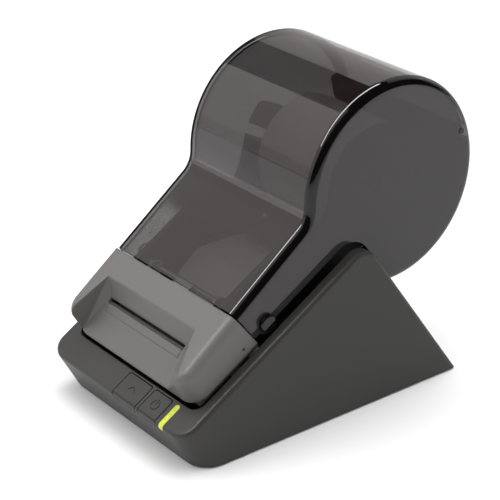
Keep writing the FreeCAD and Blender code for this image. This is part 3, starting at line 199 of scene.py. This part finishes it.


# smoked moulding: a see-through tint that is set by place, with a painted highlight at the root of the bend,
# under a gloss on the outer faces
def smokedPlastic(name, look):
    made = Finish(name)
    drift = made.noise(look["driftScale"], look["driftDetail"])
    x, y, z = (made.part(axis) for axis in "XYZ")
    inward = made.node("ShaderNodeNewGeometry", None, None, "Backfacing")
    outward = 1.0 - inward

    # masks across the width
    across = made.node("ShaderNodeMath", {"operation": "ABSOLUTE"}, {0: x})
    sideAt, edgeRound = look["sideAt"], look["edgeRound"]
    liningAt = sideAt - look["wall"]
    left = x < 0.0
    side = across > sideAt - look["sideSlack"]
    knob = across > sideAt + look["knobStep"]
    lining = (across > liningAt - look["liningSlack"]) * (across < liningAt + look["liningSlack"])
    curved = (1.0 - side) * (1.0 - lining)
    edge = made.ease(across + left * look["leftReach"], sideAt - edgeRound,
                     sideAt - edgeRound * look["edgeFull"]) * curved
    rear = made.ease(across, sideAt - edgeRound * look["rearReach"], sideAt - edgeRound) * curved
    leftEdge = (x < edgeRound - sideAt) * (1.0 - side)

    # masks along the neck
    slope = math.radians(look["neckSlope"])
    seamY, seamZ = look["seam"]
    along = (y - seamY) * math.cos(slope) + (z - seamZ) * math.sin(slope)
    panel = (1.0 - edge) * (1.0 - side)
    mouth = made.ease(along, look["mouthFrom"], look["mouthTo"]) * panel
    bend = made.ease(along, look["bendFrom"], look["bendFrom"] + look["bendBlur"])
    bend = bend * (along < look["bendTo"]) * panel
    # painted highlight: a lighter strip just above the root of the bend, in place of a reflection
    root = made.ease(z, look["rootFrom"], look["rootFrom"] + look["rootBlur"])
    root = root * (z < look["rootTo"]) * (y < look["rootAhead"]) * (1.0 - edge)

    tone = made.tones(drift, look)
    for mask, tint in ((edge, "edgeTint"), (root, "rootHighlightTint"), (side, "sideTint"), (knob, "edgeTint")):
        tone = made.mix(mask, tone, rgb(look[tint]))
    rim = look["edgeAlpha"] - look["alpha"] - left * look["leftThin"]
    cover = edge * rim + side * (look["sideAlpha"] - look["alpha"]) + look["alpha"]
    cover = cover + bend * look["bendAlpha"] - mouth * look["mouthThin"]
    made.set(color=tone, rough=look["bodyRough"], spec=look["bodySpec"],
             alpha=cover * outward + rear * inward * look["backAlpha"])

    shine = made.node("ShaderNodeFresnel", None, {"IOR": look["ior"]}) * outward * (1.0 - leftEdge)
    gloss = made.node("ShaderNodeBsdfGlossy", None, {"Roughness": look["glossRough"]})
    body = Wire(made, made.shader.outputs[0])
    both = made.node("ShaderNodeMixShader", None, {0: shine, 1: body, 2: gloss})
    made.feed(made.out.inputs["Surface"], both)
    return made


lowRoll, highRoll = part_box("label_roll")
paperLook = {"dark": (0.79, 0.735, 0.70), "light": (0.87, 0.82, 0.79), "fibreScale": 900, "fibreDetail": 4.0,
             "rough": 0.5, "roughSpread": 0.12, "ringStep": 5200.0, "ringDepth": 0.16,
             "ringTone": (0.45, 0.42, 0.37), "centre": [(a + b) / 2 for a, b in zip(lowRoll, highRoll)]}


# coated label stock; the wound edge shows as fine rings about the spool axis
def labelPaper(name, look):
    made = Finish(name)
    fibre = made.noise(look["fibreScale"], look["fibreDetail"])
    y = made.part("Y") - look["centre"][1]
    z = made.part("Z") - look["centre"][2]
    radius = (y * y + z * z) ** 0.5
    wave = made.node("ShaderNodeMath", {"operation": "SINE"}, {0: radius * look["ringStep"]})
    ring = wave * 0.5 + 0.5  # from 0 to 1
    shade = made.mix(ring * look["ringDepth"], made.tones(fibre, look), rgb(look["ringTone"]))
    made.set(color=shade, rough=fibre * look["roughSpread"] + look["rough"])
    return made


cardLook = {"dark": (0.30, 0.21, 0.13), "light": (0.40, 0.30, 0.20), "fibreScale": 500, "fibreDetail": 5.0,
            "rough": 0.8, "roughSpread": 0.1, "fuzz": 0.3, "fuzzDepth": 0.0002}


def woundCard(name, look):
    made = Finish(name)
    fibre = made.noise(look["fibreScale"], look["fibreDetail"])
    made.set(color=made.tones(fibre, look), rough=fibre * look["roughSpread"] + look["rough"],
             normal=made.bump(fibre, look["fuzz"], look["fuzzDepth"]))
    return made


# what every metal has
metalBase = {"stretch": (0.06, 1.0, 1.0), "scratchDetail": 4.0, "scratchBreak": 0.65, "roughSpread": 0.18,
             "scratch": 0.08, "scratchDepth": 0.0001}
screwSteel = {"dark": (0.44, 0.44, 0.45), "light": (0.58, 0.58, 0.59), "scratchScale": 700, "rough": 0.24}
bracketSteel = {"dark": (0.38, 0.38, 0.40), "light": (0.52, 0.52, 0.53), "scratchScale": 240, "rough": 0.32}
turnedBrass = {"dark": (0.52, 0.36, 0.14), "light": (0.68, 0.50, 0.22), "scratchScale": 500, "rough": 0.26}


# plated or turned metal with fine drawn scratches
def drawnMetal(name, ownLook):
    look = {**metalBase, **ownLook}
    made = Finish(name)
    stretched = made.node("ShaderNodeMapping", None, {"Vector": made.place, "Scale": look["stretch"]})
    scratch = made.noise(look["scratchScale"], look["scratchDetail"], look["scratchBreak"], stretched)
    made.set(color=made.tones(scratch, look), metal=1.0, rough=scratch * look["roughSpread"] + look["rough"],
             normal=made.bump(scratch, look["scratch"], look["scratchDepth"]))
    return made


ceramicLook = {"dark": (0.60, 0.57, 0.52), "light": (0.72, 0.70, 0.65), "speckScale": 1200,
               "speckDetail": 3.0, "rough": 0.22, "roughSpread": 0.1}


def glazedCeramic(name, look):
    made = Finish(name)
    speck = made.noise(look["speckScale"], look["speckDetail"])
    made.set(color=made.tones(speck, look), rough=speck * look["roughSpread"] + look["rough"])
    return made


# dark is the bare mask and light the mask over copper
boardLook = {"dark": (0.012, 0.085, 0.035), "light": (0.03, 0.17, 0.08), "traceScale": 260, "traceFrom": 0.42,
             "rough": 0.3, "roughSpread": 0.1, "trace": 0.2, "traceHeight": 0.0002}


# solder mask with raised copper runs
def circuitBoard(name, look):
    made = Finish(name)
    cells = made.node("ShaderNodeTexVoronoi", {"distance": "MANHATTAN", "feature": "F1"},
                      {"Vector": made.place, "Scale": look["traceScale"]})
    lines = cells > look["traceFrom"]
    made.set(color=made.tones(lines, look), rough=lines * look["roughSpread"] + look["rough"],
             normal=made.bump(lines, look["trace"], look["traceHeight"]))
    return made


pipeLook = {"dark": (0.26, 0.31, 0.012), "light": (0.62, 0.68, 0.045), "cloudScale": 520, "cloudDetail": 2.0,
            "rough": 0.14, "roughSpread": 0.05, "glow": 0.38}
ledLook = {"dark": (0.80, 0.78, 0.60), "light": (0.95, 0.93, 0.80), "cloudScale": 400, "cloudDetail": 2.0,
           "rough": 0.2, "roughSpread": 0.05, "glow": 0.4}


# lit plastic, with soft clouds in its tone and glow
def litPipe(name, look):
    made = Finish(name)
    cloud = made.noise(look["cloudScale"], look["cloudDetail"])
    tone = made.tones(cloud, look)
    made.set(color=tone, rough=cloud * look["roughSpread"] + look["rough"], glow=tone, glowPower=look["glow"])
    return made


# how the finish of each material slot is made
recipes = {
    "base_plastic": (mouldedPlastic, basePlastic),
    "bezel_plastic": (mouldedPlastic, bezelPlastic),
    "button_plastic": (mouldedPlastic, buttonPlastic),
    "smoked_plastic": (smokedPlastic, smokedCover),
    "frame_plastic": (mouldedPlastic, framePlastic),
    "spool_plastic": (mouldedPlastic, spoolPlastic),
    "gear_plastic": (mouldedPlastic, gearPlastic),
    "socket_black": (mouldedPlastic, socketPlastic),
    "foot_rubber": (mouldedPlastic, footRubber),
    "platen_rubber": (mouldedPlastic, platenRubber),
    "screw_steel": (drawnMetal, screwSteel),
    "bracket_steel": (drawnMetal, bracketSteel),
    "bushing_brass": (drawnMetal, turnedBrass),
    "head_ceramic": (glazedCeramic, ceramicLook),
    "label_paper": (labelPaper, paperLook),
    "core_card": (woundCard, cardLook),
    "board_green": (circuitBoard, boardLook),
    "pipe_lime": (litPipe, pipeLook),
    "led_white": (litPipe, ledLook),
}
finishes = {slot: make(slot, look) for slot, (make, look) in recipes.items()}

for entry in frame["record"]["subparts"]:
    node = frame["nodes"][entry["node"]]
    node.data.materials.clear()
    node.data.materials.append(finishes[entry["material_slot"]].material)
print("finishes on", len(frame["nodes"]), "nodes")

stage = {"floorSize": 30.0, "dark": (0.86, 0.86, 0.86), "light": (0.89, 0.89, 0.89), "driftScale": 3.0,
         "driftDetail": 2.0, "floorRough": 0.7, "sky": (1.0, 1.0, 1.0), "skyPower": 0.86}


def paleFloor(look):
    made = Finish("pale_floor")
    drift = made.noise(look["driftScale"], look["driftDetail"])
    made.set(color=made.tones(drift, look), rough=look["floorRough"])
    mesh = bpy.data.meshes.new("floor")
    plane = bmesh.new()
    bmesh.ops.create_grid(plane, x_segments=1, y_segments=1, size=look["floorSize"] / 2)
    plane.to_mesh(mesh)
    plane.free()
    floor = bpy.data.objects.new("floor", mesh)
    mesh.materials.append(made.material)
    bpy.context.collection.objects.link(floor)


# even light for matt faces, which the gloss doesn't show
def paleSky(look):
    world = bpy.data.worlds.new("pale_sky")
    bpy.context.scene.world = world
    world.use_nodes = True
    back = world.node_tree.nodes["Background"]
    back.inputs["Color"].default_value = rgb(look["sky"])
    back.inputs["Strength"].default_value = look["skyPower"]
    world.cycles_visibility.glossy = False


paleFloor(stage)
paleSky(stage)

roomTint = (1.0, 0.95, 0.95)
plainTint = (1.0, 1.0, 1.0)
# the gloss alone shows the two overhead banks, with a dark gap between them, the walls below their edges and
# the edge strip; key and floor_wash light the matt faces and stay out of the gloss
lamps = {
    "front_bank": {"at": (-3.75, -4.15, 1.5), "aim": (-3.75, -4.15, 0.0), "size": (8.5, 7.7),
                   "radiance": 1.54, "tint": roomTint, "diffuse": False},
    "back_bank": {"at": (-3.75, 4.9, 1.5), "aim": (-3.75, 4.9, 0.0), "size": (8.5, 8.0),
                  "radiance": 0.85, "tint": roomTint, "diffuse": False},
    "front_wall": {"at": (-3.75, -8.0, 0.75), "aim": (-3.75, 0.0, 0.75), "size": (8.5, 1.5),
                   "radiance": 1.2, "tint": roomTint, "diffuse": False},
    "left_wall": {"at": (-8.0, -4.15, 0.75), "aim": (0.0, -4.15, 0.75), "size": (7.7, 1.5),
                  "radiance": 1.2, "tint": roomTint, "diffuse": False},
    "back_wall": {"at": (-3.75, 8.9, 0.75), "aim": (-3.75, 0.0, 0.75), "size": (8.5, 1.5),
                  "radiance": 0.85, "tint": roomTint, "diffuse": False},
    "rear_wall": {"at": (-8.0, 4.9, 0.75), "aim": (0.0, 4.9, 0.75), "size": (8.0, 1.5),
                  "radiance": 0.85, "tint": roomTint, "diffuse": False},
    "edge_strip": {"at": (-0.42, -0.6, 1.46), "aim": (-0.42, -0.6, 0.0), "size": (0.34, 2.6),
                   "radiance": 17.0, "tint": plainTint, "diffuse": False},
    "key": {"at": (0.1, 0.3, 1.5), "aim": (0.0, 0.05, 0.0), "size": (1.6, 1.4),
            "radiance": 2.5, "tint": plainTint, "gloss": False},
    "floor_wash": {"at": (-1.6, -1.5, 1.4), "aim": (-1.6, -1.5, 0.0), "size": (2.0, 2.0),
                   "radiance": 1.9, "tint": plainTint, "gloss": False},
}


def softBoxes(rows):
    for name, look in rows.items():
        light = bpy.data.lights.new(name, "AREA")
        light.shape = "RECTANGLE"
        light.size, light.size_y = look["size"]
        light.color = look["tint"]
        light.energy = look["radiance"] * math.pi * light.size * light.size_y
        lamp = bpy.data.objects.new(name, light)
        lamp.visible_glossy = look.get("gloss", True)
        lamp.visible_diffuse = look.get("diffuse", True)
        way = Vector(look["aim"]) - Vector(look["at"])
        turn = way.to_track_quat("-Z", "Y").to_matrix().to_4x4()
        lamp.matrix_world = Matrix.Translation(look["at"]) @ turn
        bpy.context.collection.objects.link(lamp)


softBoxes(lamps)
print("stage lit")

# lens and place that were fitted to the picture's edges
shot = {"at": (0.59903, -0.46376, 0.42797), "azimuth": 52.336, "elevation": 25.593, "roll": -0.506,
        "focalPixels": 1765.11, "centre": (263.015, 252.785), "imageSize": 500.0, "sensor": 36.0,
        "clipEnd": 20.0}


def photoCamera(look):
    a = math.radians(look["azimuth"])
    e = math.radians(look["elevation"])
    r = math.radians(look["roll"])
    back = Vector((math.sin(a) * math.cos(e), -math.cos(a) * math.cos(e), math.sin(e)))
    level = Vector((math.cos(a), math.sin(a), 0.0))
    rise = back.cross(level)
    right = level * math.cos(r) + rise * math.sin(r)
    up = rise * math.cos(r) - level * math.sin(r)
    lens = bpy.data.cameras.new("photo_camera")
    lens.sensor_width = look["sensor"]
    lens.lens = look["focalPixels"] / look["imageSize"] * look["sensor"]
    half = look["imageSize"] / 2
    lens.shift_x = (half - look["centre"][0]) / look["imageSize"]
    lens.shift_y = (look["centre"][1] - half) / look["imageSize"]
    lens.clip_end = look["clipEnd"]
    camera = bpy.data.objects.new("photo_camera", lens)
    turn = Matrix((right, up, back)).transposed().to_4x4()
    camera.matrix_world = Matrix.Translation(look["at"]) @ turn
    bpy.context.collection.objects.link(camera)
    bpy.context.scene.camera = camera


photoCamera(shot)
bpy.context.scene.view_settings.view_transform = "Standard"
print("camera set")
